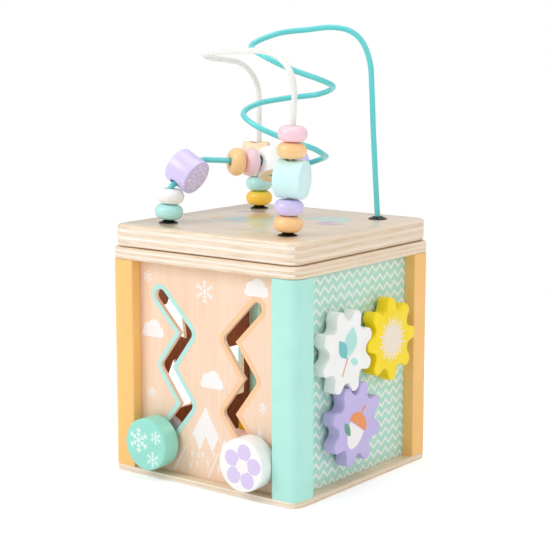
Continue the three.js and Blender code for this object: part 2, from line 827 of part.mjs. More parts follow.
function slotKnobs() {
  const group = new THREE.Group();
  [["snow", -1, COLOUR.mint], ["flower", 1, COLOUR.white]].forEach(([name, side, colour]) => {
    const pieces = [
      named(name + "_knob", knob(), finish(colour, PAINT)),
      named(name + "_knob_peg", knobPeg(), finish(COLOUR.birch, WOOD)),
      named(name + "_knob_retainer", knobRetainer(), finish(COLOUR.clear, PLASTIC)),
    ];
    pieces.forEach((piece) => group.add(onSlotPanel(piece, side)));
  });
  return group;
}

function lid() {
  const group = new THREE.Group();
  group.add(named("lid_plate", lidPlate(), finish(COLOUR.birch, PLASTIC)));
  group.add(named("lid_plug", lidPlug(), finish(COLOUR.birch, WOOD)));
  Object.keys(LEGS).forEach((name) => {
    const foot = named(name + "_wire_foot", wireFoot(), finish(COLOUR.black, PLASTIC));
    foot.position.copy(legAt(name, LID_TOP));
    group.add(foot);
  });
  const white = wire("front", WHITE_LEG_TOP, WHITE_BEND, "back", WHITE_LEG_BACK_TOP, 7);
  group.add(named("white_wire", white, finish(COLOUR.white, PLASTIC)));
  const teal = wire("right", RIGHT_LEG_TOP, tealBend(), "left", LEFT_LEG_TOP, 5);
  group.add(named("teal_wire", teal, finish(COLOUR.teal, PLASTIC)));
  beads().forEach((piece) => group.add(piece));
  return group;
}

function blocks() {
  const group = new THREE.Group();
  const colours = {
    star: COLOUR.yellow,
    triangle: COLOUR.mint,
    square: COLOUR.pink,
    circle: COLOUR.lavender,
  };
  Object.keys(OUTLINES).forEach((name) => {
    group.add(named(name + "_block", block(name), finish(colours[name], PAINT)));
  });
  return group;
}

const sorter = new THREE.Group();
sorter.add(carcass(), gearTrain(), slotKnobs(), lid(), blocks());

export default sorter;
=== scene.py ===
import json
import math

import bmesh
import bpy
from mathutils import Matrix, Vector


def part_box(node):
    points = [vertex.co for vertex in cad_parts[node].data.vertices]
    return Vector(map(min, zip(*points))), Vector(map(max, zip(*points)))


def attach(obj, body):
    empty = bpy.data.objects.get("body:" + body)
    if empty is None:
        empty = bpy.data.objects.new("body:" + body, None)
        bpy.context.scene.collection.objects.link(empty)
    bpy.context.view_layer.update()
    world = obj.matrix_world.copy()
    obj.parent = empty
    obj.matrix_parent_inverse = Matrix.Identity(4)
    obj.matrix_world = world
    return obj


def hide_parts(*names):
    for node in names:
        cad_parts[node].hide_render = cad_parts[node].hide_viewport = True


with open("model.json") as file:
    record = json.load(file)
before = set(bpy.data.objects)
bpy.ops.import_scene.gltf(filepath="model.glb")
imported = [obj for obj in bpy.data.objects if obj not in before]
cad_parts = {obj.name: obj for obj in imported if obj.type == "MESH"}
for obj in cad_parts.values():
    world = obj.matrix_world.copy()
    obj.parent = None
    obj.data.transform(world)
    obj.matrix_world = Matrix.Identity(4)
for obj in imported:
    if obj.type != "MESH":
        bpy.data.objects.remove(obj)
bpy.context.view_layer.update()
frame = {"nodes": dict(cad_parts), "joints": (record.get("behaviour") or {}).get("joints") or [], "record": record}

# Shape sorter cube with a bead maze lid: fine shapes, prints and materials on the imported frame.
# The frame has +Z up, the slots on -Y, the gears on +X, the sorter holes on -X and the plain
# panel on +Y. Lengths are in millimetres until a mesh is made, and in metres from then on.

MM = 0.001
RECORD = frame["record"]
JOINT_OF = {joint["child"]: joint for joint in frame["joints"]}
BODY_OF = {node: body for body, nodes in RECORD["behaviour"]["bodies"].items() for node in nodes}
SLOT_OF = {part["node"]: part["material_slot"] for part in RECORD["subparts"]}


def low(node):
    """A node's lowest corner, in millimetres."""
    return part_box(node)[0] / MM


def high(node):
    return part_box(node)[1] / MM


def middle(node):
    return (low(node) + high(node)) / 2


# ---- sizes read from the frame -----------------------------------------------------------------

PLATE_HALF = high("base_plate").x
LID_HALF = high("lid_plate").x
POST_OUT = high("post_back_right").x
POST_IN = low("post_back_right").x
PANEL_OUT = high("gear_panel").x
PANEL_T = PANEL_OUT - low("gear_panel").x
PANEL_HALF = high("slot_panel").x
PANEL_LOW = low("slot_panel").z
PANEL_HIGH = high("slot_panel").z
LID_TOP = high("lid_plate").z
WIRE_R = 1.9

# ---- colours -----------------------------------------------------------------------------------


def rgb(code):
    """The linear colour of an sRGB code such as "f2c9a0"."""
    values = [int(code[i:i + 2], 16) / 255 for i in (0, 2, 4)]
    return tuple(v / 12.92 if v <= 0.04045 else ((v + 0.055) / 1.055) ** 2.4 for v in values) + (1.0,)


WHITE_INK = rgb("f6f1f0")
MINT_INK = rgb("b2e5de")
PEACH_INK = rgb("fbc79a")
LAVENDER_INK = rgb("d8c9ef")
CREAM_INK = rgb("f3e4d2")

# ---- material nodes ----------------------------------------------------------------------------


def new_material(name):
    made = bpy.data.materials.new(name)
    made.use_nodes = True
    return made, made.node_tree, made.node_tree.nodes["Principled BSDF"]


def add(tree, kind, inputs=None, **settings):
    """A shader node with its settings; an input is a value or another node's output."""
    made = tree.nodes.new("ShaderNode" + kind)
    for key, value in settings.items():
        setattr(made, key, value)
    for key, value in (inputs or {}).items():
        if isinstance(value, bpy.types.NodeSocket):
            tree.links.new(value, made.inputs[key])
        else:
            made.inputs[key].default_value = value
    return made


def calc(tree, operation, *values):
    return add(tree, "Math", dict(enumerate(values)), operation=operation).outputs[0]


def remap(tree, value, from_low, from_high, to_low=0.0, to_high=1.0):
    inputs = {"Value": value, "From Min": from_low, "From Max": from_high}
    inputs.update({"To Min": to_low, "To Max": to_high})
    return add(tree, "MapRange", inputs).outputs[0]


def mixed(tree, factor, first, second):
    inputs = {0: factor, 6: first, 7: second}
    return add(tree, "Mix", inputs, data_type="RGBA").outputs[2]


def object_place(tree):
    return add(tree, "TexCoord").outputs["Object"]


def noise(tree, feature, stretch=(1, 1, 1), detail=3.0, shift=0.0):
    """Noise whose features are about this many millimetres, longer along an axis of small stretch."""
    inputs = {"Vector": object_place(tree), "Location": (shift, shift, shift), "Scale": stretch}
    place = add(tree, "Mapping", inputs).outputs[0]
    inputs = {"Vector": place, "Scale": 1 / (feature * MM), "Detail": detail}
    return add(tree, "TexNoise", inputs).outputs["Fac"]


def bump(tree, shader, height, depth):
    """Adds relief of this depth in millimetres, where height runs from 0 to 1."""
    inputs = {"Height": height, "Distance": depth * MM, "Strength": 1.0}
    made = add(tree, "Bump", inputs)
    tree.links.new(made.outputs["Normal"], shader.inputs["Normal"])


def edge_wear(tree, colour, worn, amount):
    """Tints the sharp edges, broken up by noise."""
    rounded = add(tree, "Bevel", {"Radius": 0.9 * MM}, samples=4).outputs[0]
    normal = add(tree, "NewGeometry").outputs["Normal"]
    facing_both = add(tree, "VectorMath", {0: rounded, 1: normal}, operation="DOT_PRODUCT").outputs["Value"]
    edge = remap(tree, facing_both, 0.80, 0.99, 1.0, 0.0)
    broken = remap(tree, noise(tree, 4, shift=0.3), 0.40, 0.62, 0.0, amount)
    return mixed(tree, calc(tree, "MULTIPLY", edge, broken), colour, worn)


def grain_stretch(along):
    stretch = [1.0, 1.0, 1.0]
    stretch[along] = 0.05
    return tuple(stretch)


def grained(tree, along, light, dark, shift=0.0):
    """Fine wood grain along an axis, its colour and its height."""
    fine = noise(tree, 1.3, grain_stretch(along), 4.0, shift)
    broad = noise(tree, 9, grain_stretch(along), 2.0, shift + 0.1)
    both = calc(tree, "ADD", calc(tree, "MULTIPLY", fine, 0.55), calc(tree, "MULTIPLY", broad, 0.45))
    factor = remap(tree, both, 0.36, 0.64)
    return mixed(tree, factor, light, dark), both


def finish_wood(tree, shader, colour, height, roughness, coat=0.0):
    tree.links.new(edge_wear(tree, colour, rgb("fff4e0"), 0.35), shader.inputs["Base Color"])
    rough = remap(tree, height, 0.3, 0.7, roughness - 0.05, roughness + 0.07)
    tree.links.new(rough, shader.inputs["Roughness"])
    shader.inputs["Coat Weight"].default_value = coat
    shader.inputs["Coat Roughness"].default_value = 0.12
    bump(tree, shader, height, 0.05)


def plywood(name, base, layer, coat):
    """Lacquered plywood: grain along X on the faces, layers from height base on the edges, and painted shade on
    the X edges.
    """
    made, tree, shader = new_material(name)
    face, height = grained(tree, 0, rgb("ead6bb"), rgb("e0c6a6"))
    place = add(tree, "SeparateXYZ", {0: object_place(tree)})
    normal = add(tree, "SeparateXYZ", {0: add(tree, "NewGeometry").outputs["Normal"]})
    level = calc(tree, "DIVIDE", calc(tree, "SUBTRACT", place.outputs[2], base * MM), layer * MM)
    waver = remap(tree, noise(tree, 40, (1, 1, 0.2)), 0.3, 0.7, -0.1, 0.1)
    level = calc(tree, "ADD", level, waver)
    odd = calc(tree, "GREATER_THAN", calc(tree, "FRACT", calc(tree, "MULTIPLY", level, 0.5)), 0.5)
    on_x_side = calc(tree, "GREATER_THAN", calc(tree, "ABSOLUTE", normal.outputs[0]), 0.7)
    crosswise = calc(tree, "ABSOLUTE", calc(tree, "SUBTRACT", odd, on_x_side))
    streaks = noise(tree, 0.9, (0.02, 0.02, 1), 3.0)
    long_grain = mixed(tree, remap(tree, streaks, 0.36, 0.66), rgb("fbf0e4"), rgb("f0dfca"))
    marks = noise(tree, 1.4, (0.1, 0.1, 1), 3.0, 0.2)
    end_grain = mixed(tree, remap(tree, marks, 0.40, 0.72), rgb("efdcc6"), rgb("dfc5a3"))
    edge = mixed(tree, crosswise, long_grain, end_grain)
    glue = calc(tree, "ABSOLUTE", calc(tree, "SUBTRACT", calc(tree, "FRACT", level), 0.5))
    edge = mixed(tree, remap(tree, glue, 0.42, 0.5, 0.0, 0.35), edge, rgb("c49c6c"))
    # Painted shade: the edges that face +X or -X are mixed 30% towards a darker warm tan, for the shade on the
    # box's right side.
    edge = mixed(tree, calc(tree, "MULTIPLY", on_x_side, 0.3), edge, rgb("d6b183"))
    on_edge = calc(tree, "LESS_THAN", calc(tree, "ABSOLUTE", normal.outputs[2]), 0.75)
    colour = mixed(tree, on_edge, face, edge)
    finish_wood(tree, shader, colour, height, 0.42, coat)
    return made


def veneer(name, light, dark, along=2):
    """A smooth wood face with faint grain and a few pin knots."""
    made, tree, shader = new_material(name)
    colour, height = grained(tree, along, light, dark)
    inputs = {"Vector": object_place(tree), "Scale": 1 / (34 * MM)}
    knots = add(tree, "TexVoronoi", inputs).outputs["Distance"]
    colour = mixed(tree, remap(tree, knots, 0.02, 0.05, 0.2, 0.0), colour, rgb("b5763f"))
    finish_wood(tree, shader, colour, height, 0.5)
    return made


def brown_stain(name):
    """Dark stain on the panel's faces, with the bare wood left on the walls of its holes."""
    made, tree, shader = new_material(name)
    stain, height = grained(tree, 2, rgb("8a4b2b"), rgb("743d21"))
    bare, _ = grained(tree, 0, rgb("f0dcbc"), rgb("d9b78a"))
    normal = add(tree, "SeparateXYZ", {0: add(tree, "NewGeometry").outputs["Normal"]})
    on_face = calc(tree, "GREATER_THAN", calc(tree, "ABSOLUTE", normal.outputs[0]), 0.8)
    finish_wood(tree, shader, mixed(tree, on_face, bare, stain), height, 0.55)
    return made


def zigzag_print(name):
    """Mint print with white zigzag lines on the panel's outer face, and bare wood on the rest."""
    made, tree, shader = new_material(name)
    period, rise, row, line = 9.0, 4.3, 6.7, 1.5
    ground, height = grained(tree, 2, rgb("b9e6d8"), rgb("aedecd"))
    place = add(tree, "SeparateXYZ", {0: object_place(tree)})
    across = calc(tree, "FRACT", calc(tree, "DIVIDE", place.outputs[1], period * MM))
    peak = calc(tree, "ABSOLUTE", calc(tree, "SUBTRACT", across, 0.5))
    up = calc(tree, "SUBTRACT", place.outputs[2], calc(tree, "MULTIPLY", peak, 2 * rise * MM))
    track = calc(tree, "FRACT", calc(tree, "DIVIDE", up, row * MM))
    off = calc(tree, "ABSOLUTE", calc(tree, "SUBTRACT", track, 0.5))
    half = line / row / 2 * math.hypot(1, 2 * rise / period)
    white = remap(tree, off, half - 0.012, half + 0.012, 1.0, 0.0)
    normal = add(tree, "SeparateXYZ", {0: add(tree, "NewGeometry").outputs["Normal"]})
    outside = calc(tree, "GREATER_THAN", normal.outputs[0], 0.5)
    bare, _ = grained(tree, 2, rgb("f5e2c8"), rgb("ead0ab"))
    colour = mixed(tree, outside, bare, mixed(tree, white, ground, rgb("eff6ee")))
    finish_wood(tree, shader, colour, height, 0.5)
    return made


def paint(name, colour, coat=0.15):
    """Satin paint on wood: slight tone changes, faint grain under it and lightly worn edges."""
    made, tree, shader = new_material(name)
    darker = tuple(v * 0.96 for v in colour[:3]) + (1.0,)
    tone = mixed(tree, remap(tree, noise(tree, 12), 0.35, 0.7), colour, darker)
    lighter = tuple(min(1.0, v * 0.7 + 0.3) for v in colour[:3]) + (1.0,)
    tree.links.new(edge_wear(tree, tone, lighter, 0.5), shader.inputs["Base Color"])
    grain = noise(tree, 1.1, grain_stretch(2), 3.0)
    tree.links.new(remap(tree, grain, 0.3, 0.7, 0.33, 0.46), shader.inputs["Roughness"])
    shader.inputs["Specular IOR Level"].default_value = 0.3
    shader.inputs["Coat Weight"].default_value = coat
    shader.inputs["Coat Roughness"].default_value = 0.25 - 0.2 * coat
    bump(tree, shader, grain, 0.04)
    return made


def ink(name, colour, coat=0.0):
    """A thin print that lets a little of the wood's grain through; coat is clear lacquer over it."""
    made, tree, shader = new_material(name)
    thin = tuple(a * 0.82 + b * 0.18 for a, b in zip(colour[:3], rgb("f0cda4")[:3])) + (1.0,)
    worn = remap(tree, noise(tree, 0.9, (1, 1, 0.25), 4.0), 0.5, 0.72, 0.0, 0.8)
    tree.links.new(mixed(tree, worn, colour, thin), shader.inputs["Base Color"])
    shader.inputs["Roughness"].default_value = 0.5
    shader.inputs["Coat Weight"].default_value = coat
    shader.inputs["Coat Roughness"].default_value = 0.12
    return made


def powder_coat(name, colour):
    made, tree, shader = new_material(name)
    darker = tuple(v * 0.9 for v in colour[:3]) + (1.0,)
    tree.links.new(mixed(tree, noise(tree, 14), colour, darker), shader.inputs["Base Color"])
    shader.inputs["Roughness"].default_value = 0.28
    shader.inputs["Coat Weight"].default_value = 0.4
    bump(tree, shader, noise(tree, 5, detail=1.0), 0.03)
    return made


def moulded(name, colour, roughness, clear=0.0):
    """Moulded plastic with a fine texture; clear lets light through."""
    made, tree, shader = new_material(name)
    darker = tuple(v * 0.8 for v in colour[:3]) + (1.0,)
    tree.links.new(mixed(tree, noise(tree, 3), colour, darker), shader.inputs["Base Color"])
    texture = noise(tree, 0.5)
    tree.links.new(remap(tree, texture, 0.3, 0.7, roughness, roughness + 0.1), shader.inputs["Roughness"])
    shader.inputs["Transmission Weight"].default_value = clear
    bump(tree, shader, texture, 0.02)
    return made


def plated_steel(name):
    made, tree, shader = new_material(name)
    spots = remap(tree, noise(tree, 2), 0.35, 0.7)
    tree.links.new(mixed(tree, spots, rgb("c9cbcc"), rgb("9fa2a4")), shader.inputs["Base Color"])
    shader.inputs["Metallic"].default_value = 1.0
    tree.links.new(remap(tree, noise(tree, 0.6), 0.3, 0.7, 0.25, 0.42), shader.inputs["Roughness"])
    return made


# Colours by material slot; satin for the wooden parts of the box, glossy for the beads.
SATIN = {
    "paint_orange": "fbc678",
    "paint_mint": "b4ebdf",
    "paint_pale_mint": "d4f6f6",
    "paint_white": "f7f7f5",
    "paint_yellow": "ffe00c",
}
GLOSSY = {
    "paint_teal_mint": "b8f0ee",
    "paint_amber": "ffd246",
    "paint_peach": "ffd092",
    "paint_pink": "fbd2dd",
    "paint_lavender": "d8ccf8",
}
MATERIALS = {slot: paint(slot, rgb(code)) for slot, code in SATIN.items()}
MATERIALS.update({slot: paint(slot, rgb(code), coat=0.6) for slot, code in GLOSSY.items()})
MATERIALS.update({
    "plywood": plywood("plywood", 0, 1.5, 0.25),
    "panel_wood": veneer("panel_wood", rgb("f6dac3"), rgb("f2cfb2")),
    "panel_mint": zigzag_print("panel_mint"),
    "panel_brown": brown_stain("panel_brown"),
    "plain_wood": veneer("plain_wood", rgb("f5dfc0"), rgb("e9c79c"), 0),
    "wire_white": powder_coat("wire_white", rgb("f4f3ee")),
    "wire_teal": powder_coat("wire_teal", rgb("63d6d8")),
    "black_plastic": moulded("black_plastic", rgb("121111"), 0.2),
    "clear_plastic": moulded("clear_plastic", rgb("dcd8da"), 0.35, 0.4),
    "steel": plated_steel("steel"),
})
GEAR_PURPLE = paint("gear_purple", rgb("c6b9e8"))
KNOB_MINT = paint("knob_mint", rgb("98e0d0"))
LID_WOOD = plywood("lid_plywood", low("lid_plate").z, 2.45, 0.9)
INKS = {
    "white": ink("ink_white", WHITE_INK),
    "frost": ink("ink_frost", rgb("e6f6f5")),
    "mint": ink("ink_mint", MINT_INK),
    "teal": ink("ink_teal", rgb("6fc3c4")),
    "peach": ink("ink_peach", PEACH_INK),
    "orange": ink("ink_orange", rgb("ef9458")),
    "lavender": ink("ink_lavender", LAVENDER_INK),
    "cream": ink("ink_cream", CREAM_INK),
    "green": ink("ink_green", rgb("5f9c86")),
    "yellow": ink("ink_yellow", rgb("f6d94a")),
}

# ---- outlines ----------------------------------------------------------------------------------


def arc(centre, radius, start, turn, steps=12):
    angles = [start + turn * i / steps for i in range(steps + 1)]
    return [Vector((centre[0] + radius * math.cos(a), centre[1] + radius * math.sin(a))) for a in angles]


def disc(centre, radius, steps=40):
    return arc(centre, radius, 0, 2 * math.pi, steps)[:-1]


def rounded_square(half, radius, steps=14):
    inner = half - radius
    corners = [(inner, inner), (-inner, inner), (-inner, -inner), (inner, -inner)]
    outline = []
    for i, corner in enumerate(corners):
        outline += arc(corner, radius, i * math.pi / 2, math.pi / 2, steps)
    return outline


def softened(corners, radius, steps=6):
    """A closed polygon with rounded corners."""
    outline = []
    for i, corner in enumerate(corners):
        back = (corners[i - 1] - corner).normalized()
        ahead = (corners[(i + 1) % len(corners)] - corner).normalized()
        half_angle = math.acos(max(-1.0, min(1.0, back.dot(ahead)))) / 2
        setback = radius / math.tan(half_angle)
        start = corner + back * setback
        end = corner + ahead * setback
        for k in range(steps + 1):
            t = k / steps
            outline.append(start * (1 - t) ** 2 + corner * 2 * t * (1 - t) + end * t ** 2)
    return outline


def around(count, radii, start):
    """Corners at equal angles, their radii taken in turn."""
    corners = []
    for i in range(count):
        angle = start + 2 * math.pi * i / count
        radius = radii[i % len(radii)]
        corners.append(Vector((radius * math.cos(angle), radius * math.sin(angle))))
    return corners


def shifted(outline, x, y):
    return [point + Vector((x, y)) for point in outline]


def turned_by(outline, angle):
    cos, sin = math.cos(angle), math.sin(angle)
    return [Vector((p.x * cos - p.y * sin, p.x * sin + p.y * cos)) for p in outline]


def routed(points, half, steps=10):
    """The outline of a cutter of this half width moved along the points, round outside each turn."""
    there = points + points[-2:0:-1]
    outline = []
    for i, point in enumerate(there):
        step_in = point - there[i - 1]
        step_out = there[(i + 1) % len(there)] - point
        into = math.atan2(step_in.y, step_in.x)
        turn = math.atan2(step_out.y, step_out.x) - into
        turn -= 2 * math.pi * round(turn / (2 * math.pi))
        if point in (points[0], points[-1]):
            turn = math.pi
        if turn > 0:
            outline += arc(point, half, into - math.pi / 2, turn, steps)
        else:
            bisector = into - math.pi / 2 + turn / 2
            reach = half / math.cos(turn / 2)
            outline.append(point + Vector((math.cos(bisector), math.sin(bisector))) * reach)
    return outline


def oval(centre, half_width, half_height, angle=0.0, steps=28):
    outline = [Vector((half_width * p.x, half_height * p.y)) for p in disc((0, 0), 1, steps)]
    return shifted(turned_by(outline, angle), *centre)


def bar(start, end, width):
    """A straight stroke."""
    start, end = Vector(start), Vector(end)
    side = (end - start).normalized().orthogonal() * width / 2
    return [start + side, start - side, end - side, end + side]


def leaf(start, end, width, steps=12):
    """A pointed leaf between two points."""
    start, end = Vector(start), Vector(end)
    side = (end - start).normalized().orthogonal()
    rim = []
    for k in range(steps):
        t = k / steps
        rim.append(start.lerp(end, t) + side * (width / 2 * math.sin(math.pi * t)))
    for k in range(steps):
        t = k / steps
        rim.append(end.lerp(start, t) - side * (width / 2 * math.sin(math.pi * t)))
    return rim


def snowflake(centre, radius, stroke):
    """Six arms, each with two pairs of side branches, as one outline."""
    half = stroke / 2
    lean = math.radians(50)
    out = Vector((math.cos(lean), math.sin(lean)))
    side = Vector((-out.y, out.x)) * half
    upper = []
    for start, length in ((0.36, 0.24), (0.66, 0.3)):
        root = Vector((start * radius, 0))
        tip = root + out * length * radius
        near = root + side + out * (half * (1 - out.x) / out.y)
        far = root - side + out * (half * (1 + out.x) / out.y)
        upper += [near, tip + side, tip - side, far]
    upper.append(Vector((radius, half)))
    lower = [Vector((p.x, -p.y)) for p in upper]
    notch = Vector((math.sqrt(3) * half, half))
    arm = lower + upper[::-1] + [notch]
    outline = []
    for i in range(6):
        outline += turned_by(arm, math.pi / 6 + i * math.pi / 3)
    return shifted(outline, *centre)


def cloud(centre, width):
    """Three puffs on a flat base with round ends, as one outline seen from its middle."""
    unit = width / 16
    base_half, depth = 6, 4
    puffs = [((-3.4, 0.6), 3.4), ((1.2, 1.6), 4.4), ((5, -0.6), 2.9), ((-6, -2), 2), ((6, -2), 2)]
    outline = []
    for ray in disc((0, 0), 1, 96):
        reach = 0.0
        if ray.y < -1e-6:
            reach = min(depth / -ray.y, base_half / max(abs(ray.x), 1e-6))
        for middle_of_puff, radius in puffs:
            along = ray.dot(Vector(middle_of_puff))
            off = Vector(middle_of_puff).length_squared - along ** 2
            if off < radius ** 2:
                reach = max(reach, along + math.sqrt(radius ** 2 - off))
        outline.append(ray * reach * unit)
    return shifted(outline, *centre)


# ---- meshes ------------------------------------------------------------------------------------


def basis(across, up, out, at=(0, 0, 0)):
    """The matrix that lays local X, Y and Z along three directions, at a point in millimetres."""
    matrix = Matrix((across, up, out)).transposed().to_4x4()
    matrix.translation = Vector(at) * MM
    return matrix


SIDES = {
    "front": ((1, 0, 0), (0, 0, 1), (0, -1, 0)),
    "right": ((0, 1, 0), (0, 0, 1), (1, 0, 0)),
    "back": ((-1, 0, 0), (0, 0, 1), (0, 1, 0)),
    "left": ((0, -1, 0), (0, 0, 1), (-1, 0, 0)),
    "top": ((1, 0, 0), (0, 1, 0), (0, 0, 1)),
}


def facing(side, out):
    """Local XY on a plane of a side, this far out from the middle."""
    across, up, normal = SIDES[side]
    return basis(across, up, normal, Vector(normal) * out)


def tidy(mesh, angle=34):
    """Joins doubled points, turns faces outwards and shades smooth up to an edge angle."""
    work = bmesh.new()
    work.from_mesh(mesh)
    bmesh.ops.remove_doubles(work, verts=work.verts, dist=1e-7)
    bmesh.ops.dissolve_degenerate(work, edges=work.edges, dist=1e-7)
    bmesh.ops.recalc_face_normals(work, faces=work.faces)
    work.to_mesh(mesh)
    work.free()
    mesh.polygons.foreach_set("use_smooth", [True] * len(mesh.polygons))
    mesh.set_sharp_from_angle(angle=math.radians(angle))
    return mesh


def outwards(mesh):
    """Turns a closed mesh's faces outwards."""
    work = bmesh.new()
    work.from_mesh(mesh)
    bmesh.ops.recalc_face_normals(work, faces=work.faces)
    work.to_mesh(mesh)
    work.free()
    return mesh


def curve_mesh(name, curve):
    """The mesh of a curve, which is then removed."""
    holder = bpy.data.objects.new(name, curve)
    bpy.context.scene.collection.objects.link(holder)
    depsgraph = bpy.context.evaluated_depsgraph_get()
    mesh = bpy.data.meshes.new_from_object(holder.evaluated_get(depsgraph))
    bpy.data.objects.remove(holder)
    bpy.data.curves.remove(curve)
    return mesh


def sheet(name, outlines, bottom, top, edge=0.0):
    """A plate between two heights with its rims rounded by edge; later outlines are holes."""
    curve = bpy.data.curves.new(name, "CURVE")
    curve.dimensions = "2D"
    curve.fill_mode = "BOTH"
    curve.extrude = ((top - bottom) / 2 - edge) * MM
    curve.bevel_depth = edge * MM
    curve.bevel_resolution = 3
    curve.offset = -edge * MM
    for outline in outlines:
        spline = curve.splines.new("POLY")
        spline.points.add(len(outline) - 1)
        for point, place in zip(spline.points, outline):
            point.co = (place.x * MM, place.y * MM, 0, 1)
        spline.use_cyclic_u = True
    mesh = curve_mesh(name, curve)
    mesh.transform(Matrix.Translation((0, 0, (bottom + top) / 2 * MM)))
    return tidy(mesh)


def lathe(name, profile, steps=72):
    """A solid of revolution about local Z; each profile point is (radius, height)."""
    verts = []
    for k in range(steps):
        angle = 2 * math.pi * k / steps
        verts += [Vector((r * math.cos(angle), r * math.sin(angle), z)) * MM for r, z in profile]
    rows = len(profile)
    faces = []
    for k in range(steps):
        here, there = k * rows, (k + 1) % steps * rows
        faces += [(here + i, there + i, there + i + 1, here + i + 1) for i in range(rows - 1)]
    mesh = bpy.data.meshes.new(name)
    mesh.from_pydata(verts, [], faces)
    return tidy(mesh)


def turned_rim(corners, radius, steps=5):
    """An open profile with its inner corners rounded."""
    profile = [corners[0]]
    for before, corner, after in zip(corners, corners[1:], corners[2:]):
        here = Vector(corner)
        back = Vector(before) - here
        ahead = Vector(after) - here
        start = here + back.normalized() * min(radius, back.length / 2)
        end = here + ahead.normalized() * min(radius, ahead.length / 2)
        for k in range(steps + 1):
            t = k / steps
            profile.append(tuple(start * (1 - t) ** 2 + here * 2 * t * (1 - t) + end * t ** 2))
    return profile + [corners[-1]]


INK_T = 0.08


def printed(name, outlines):
    """Thin solid ink shapes whose tops are at local height zero."""
    mesh = bpy.data.meshes.new(name)
    verts, faces = [], []
    for outline in outlines:
        count = len(outline)
        first = len(verts)
        for height in (0, -INK_T):
            verts += [Vector((p.x, p.y, height)) * MM for p in outline]
        top = range(first, first + count)
        faces.append(tuple(top))
        faces.append(tuple(i + count for i in reversed(top)))
        for i in range(count):
            here, there = first + i, first + (i + 1) % count
            faces.append((here, here + count, there + count, there))
    mesh.from_pydata(verts, [], faces)
    return outwards(mesh)


def band(name, inner, outer):
    """A thin solid band between two outlines that have the same number of points."""
    count = len(inner)
    verts = [Vector((p.x, p.y, height)) * MM for height in (0, -INK_T) for p in inner + outer]
    inner_top, outer_top, inner_low, outer_low = (k * count for k in range(4))
    faces = []
    for i in range(count):
        j = (i + 1) % count
        for first, second in ((inner_top, outer_top), (outer_top, outer_low), (outer_low, inner_low),
                              (inner_low, inner_top)):
            faces.append((first + i, first + j, second + j, second + i))
    mesh = bpy.data.meshes.new(name)
    mesh.from_pydata(verts, [], faces)
    return outwards(mesh)


# ---- pieces ------------------------------------------------------------------------------------


def piece(name, mesh, matrix, material, body):
    mesh.transform(matrix)
    mesh.materials.clear()
    mesh.materials.append(material)
    made = bpy.data.objects.new(name, mesh)
    bpy.context.scene.collection.objects.link(made)
    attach(made, body)
    return made


def stand_for(node, mesh, matrix=None, material=None):
    """A finer shape in the place of a CAD node."""
    slot = SLOT_OF[node]
    made = piece(node + ".fine", mesh, matrix or Matrix(), material or MATERIALS[slot], BODY_OF[node])
    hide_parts(node)
    return made


def keep(node):
    """A CAD node shown as it is, with its slot's material."""
    cad = frame["nodes"][node]
    cad.data.materials.clear()
    cad.data.materials.append(MATERIALS[SLOT_OF[node]])


PRINT_LIFT = 0.06


def moved(groups, x, y):
    """Groups of ink outlines, each outline shifted."""
    return [(colour, [shifted(outline, x, y) for outline in outlines]) for colour, outlines in groups]


def prints(name, node, side, out, groups, inks=INKS):
    """Ink on a node's face; groups is [(ink, outlines), ...]."""
    for i, (colour, outlines) in enumerate(groups):
        matrix = facing(side, out + PRINT_LIFT * (1 + 0.3 * i))
        mesh = printed(name, outlines)
        piece(f"{name}_{i + 1}", mesh, matrix, inks[colour], BODY_OF[node])


# ---- carcass -----------------------------------------------------------------------------------

PLATE_CORNER_R = 9
POST_CORNER_R = 7
GROOVE_DEPTH = 3
BASE_SCREWS = ["base_screw_" + corner for corner in ("front_left", "front_right", "back_right", "back_left")]


def plates():
    outline = rounded_square(PLATE_HALF, PLATE_CORNER_R)
    bores = []
    for node in BASE_SCREWS:
        centre = middle(node)
        bores.append(disc((centre.x, centre.y), high(node).x - centre.x + 0.2, 32))
    bottom, top = low("base_plate").z, high("base_plate").z
    stand_for("base_plate", sheet("base_plate", [outline] + bores, bottom, top, 0.5))
    opening = rounded_square(POST_IN - 0.5, 4)
    bottom, top = low("top_frame").z, high("top_frame").z
    stand_for("top_frame", sheet("top_frame", [outline, opening], bottom, top, 1.4))
    lid = rounded_square(LID_HALF, PLATE_CORNER_R)
    stand_for("lid_plate", sheet("lid_plate", [lid], low("lid_plate").z, LID_TOP, 2.2), material=LID_WOOD)
    plug = rounded_square(high("lid_plug").x, 3.6)
    stand_for("lid_plug", sheet("lid_plug", [plug], low("lid_plug").z, high("lid_plug").z, 0.2))


def post_outline():
    """The post of the +X +Y corner, with its two panel grooves."""
    groove_out = PANEL_OUT + 0.15
    groove_in = PANEL_OUT - PANEL_T - 0.15
    end = POST_IN + GROOVE_DEPTH
    centre = POST_OUT - POST_CORNER_R
    half = [(POST_IN, POST_IN), (groove_in, POST_IN), (groove_in, end), (groove_out, end),
            (groove_out, POST_IN), (POST_OUT - 0.5, POST_IN), (POST_OUT, POST_IN + 0.5)]
    mirrored = [(y, x) for x, y in reversed(half[1:])]
    corner = arc((centre, centre), POST_CORNER_R, 0, math.pi / 2, 16)
    return [Vector(p) for p in half] + corner + [Vector(p) for p in mirrored]


def posts():
    quarter_turns = {"back_right": 0, "back_left": 1, "front_left": 2, "front_right": 3}
    for name, turns in quarter_turns.items():
        node = "post_" + name
        mesh = sheet(node, [post_outline()], low(node).z, high(node).z)
        stand_for(node, mesh, Matrix.Rotation(turns * math.pi / 2, 4, "Z"))


def panel_outline():
    bottom = [Vector((-PANEL_HALF, PANEL_LOW)), Vector((PANEL_HALF, PANEL_LOW))]
    top = [Vector((PANEL_HALF, PANEL_HIGH)), Vector((-PANEL_HALF, PANEL_HIGH))]
    return bottom + top


SLOT_HALF = 4.2
BORDER_START = 0.2
SLOT_TRACK = [(40.2, 24.5), (17.6, 51.5), (35.7, 75.5), (17.6, 99.5), (40.2, 122.5)]
BORDER = 3.3


